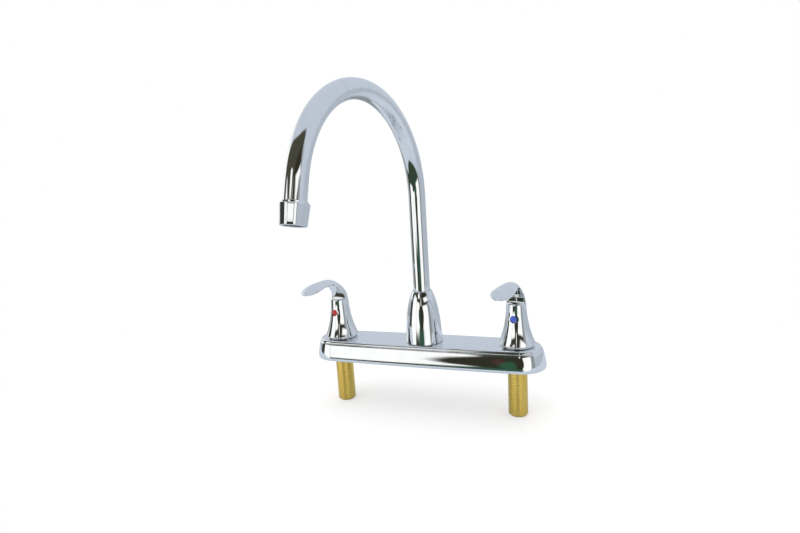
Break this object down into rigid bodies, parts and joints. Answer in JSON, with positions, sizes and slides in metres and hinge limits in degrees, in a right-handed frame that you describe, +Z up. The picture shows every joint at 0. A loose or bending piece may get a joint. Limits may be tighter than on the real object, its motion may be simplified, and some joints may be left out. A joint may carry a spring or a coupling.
{
  "type": "two handle kitchen faucet",
  "caption": "Deck mounted kitchen faucet with two lever handles, a swivelling gooseneck spout, an aerator and two threaded brass shanks on one long deck cover.",
  "frame": {"origin": "centre of the base plate's underside, where the faucet lies on the sink deck", "axes": "+Z up out of the deck, +X along the deck cover from the hot valve to the cold one, -Y towards the user"},
  "size_m": [0.2632, 0.2359, 0.3447],
  "materials": {
    "chrome_cover": "polished chrome plate, pressed deck cover",
    "chrome_tube": "polished chrome plate on drawn tube",
    "chrome_cast": "polished chrome plate on castings",
    "brass_thread": "machined brass, bright with a fine thread",
    "brass_cast": "cast brass, dull",
    "copper_pipe": "copper tube, dull",
    "steel_spring": "stainless steel, satin",
    "black_moulding": "black moulded plastic, matt",
    "white_moulding": "white acetal plastic, satin",
    "ceramic": "ground alumina ceramic, satin",
    "black_rubber": "black nitrile rubber, matt",
    "red_index": "red moulded plastic, glossy",
    "blue_index": "blue moulded plastic, glossy"
  },
  "bodies": {
    "waterway": {"deck_cover": "chrome_cover", "base_plate": "black_moulding", "spout_post": "brass_cast", "spout_shroud": "chrome_cast", "valve_body_hot": "brass_cast", "shank_hot": "brass_thread", "cartridge_shell_hot": "brass_thread", "seat_seal_hot": "black_rubber", "fixed_disc_hot": "ceramic", "cover_nut_hot": "brass_thread", "crossover_tube_hot": "copper_pipe", "valve_body_cold": "brass_cast", "shank_cold": "brass_thread", "cartridge_shell_cold": "brass_thread", "seat_seal_cold": "black_rubber", "fixed_disc_cold": "ceramic", "cover_nut_cold": "brass_thread", "crossover_tube_cold": "copper_pipe"},
    "spout": {"spout_tube": "chrome_tube", "spout_adapter": "brass_thread", "spout_oring_lower": "black_rubber", "spout_oring_upper": "black_rubber", "split_ring": "white_moulding", "outlet_collar": "chrome_cast", "aerator_housing": "chrome_cast", "aerator_washer": "black_rubber", "aerator_jet_disc": "white_moulding", "aerator_screen": "steel_spring"},
    "hot_handle": {"handle_hot": "chrome_cast", "stem_hot": "brass_thread", "moving_disc_hot": "ceramic", "stem_oring_hot": "black_rubber", "stem_clip_hot": "steel_spring", "set_screw_hot": "steel_spring", "index_button_hot": "red_index"},
    "cold_handle": {"handle_cold": "chrome_cast", "stem_cold": "brass_thread", "moving_disc_cold": "ceramic", "stem_oring_cold": "black_rubber", "stem_clip_cold": "steel_spring", "set_screw_cold": "steel_spring", "index_button_cold": "blue_index"}
  },
  "joints": [
    {"name": "spout_swivel", "type": "hinge", "parent": "waterway", "child": "spout", "pos_m": [0, 0, 0.05], "axis": [0, 0, 1], "continuous": true},
    {"name": "hot_handle_turn", "type": "hinge", "parent": "waterway", "child": "hot_handle", "pos_m": [-0.1016, 0, 0.04], "axis": [0, 0, 1], "range_deg": [-63, 27]},
    {"name": "cold_handle_turn", "type": "hinge", "parent": "waterway", "child": "cold_handle", "pos_m": [0.1016, 0, 0.04], "axis": [0, 0, 1], "range_deg": [-3, 87]}
  ]
}
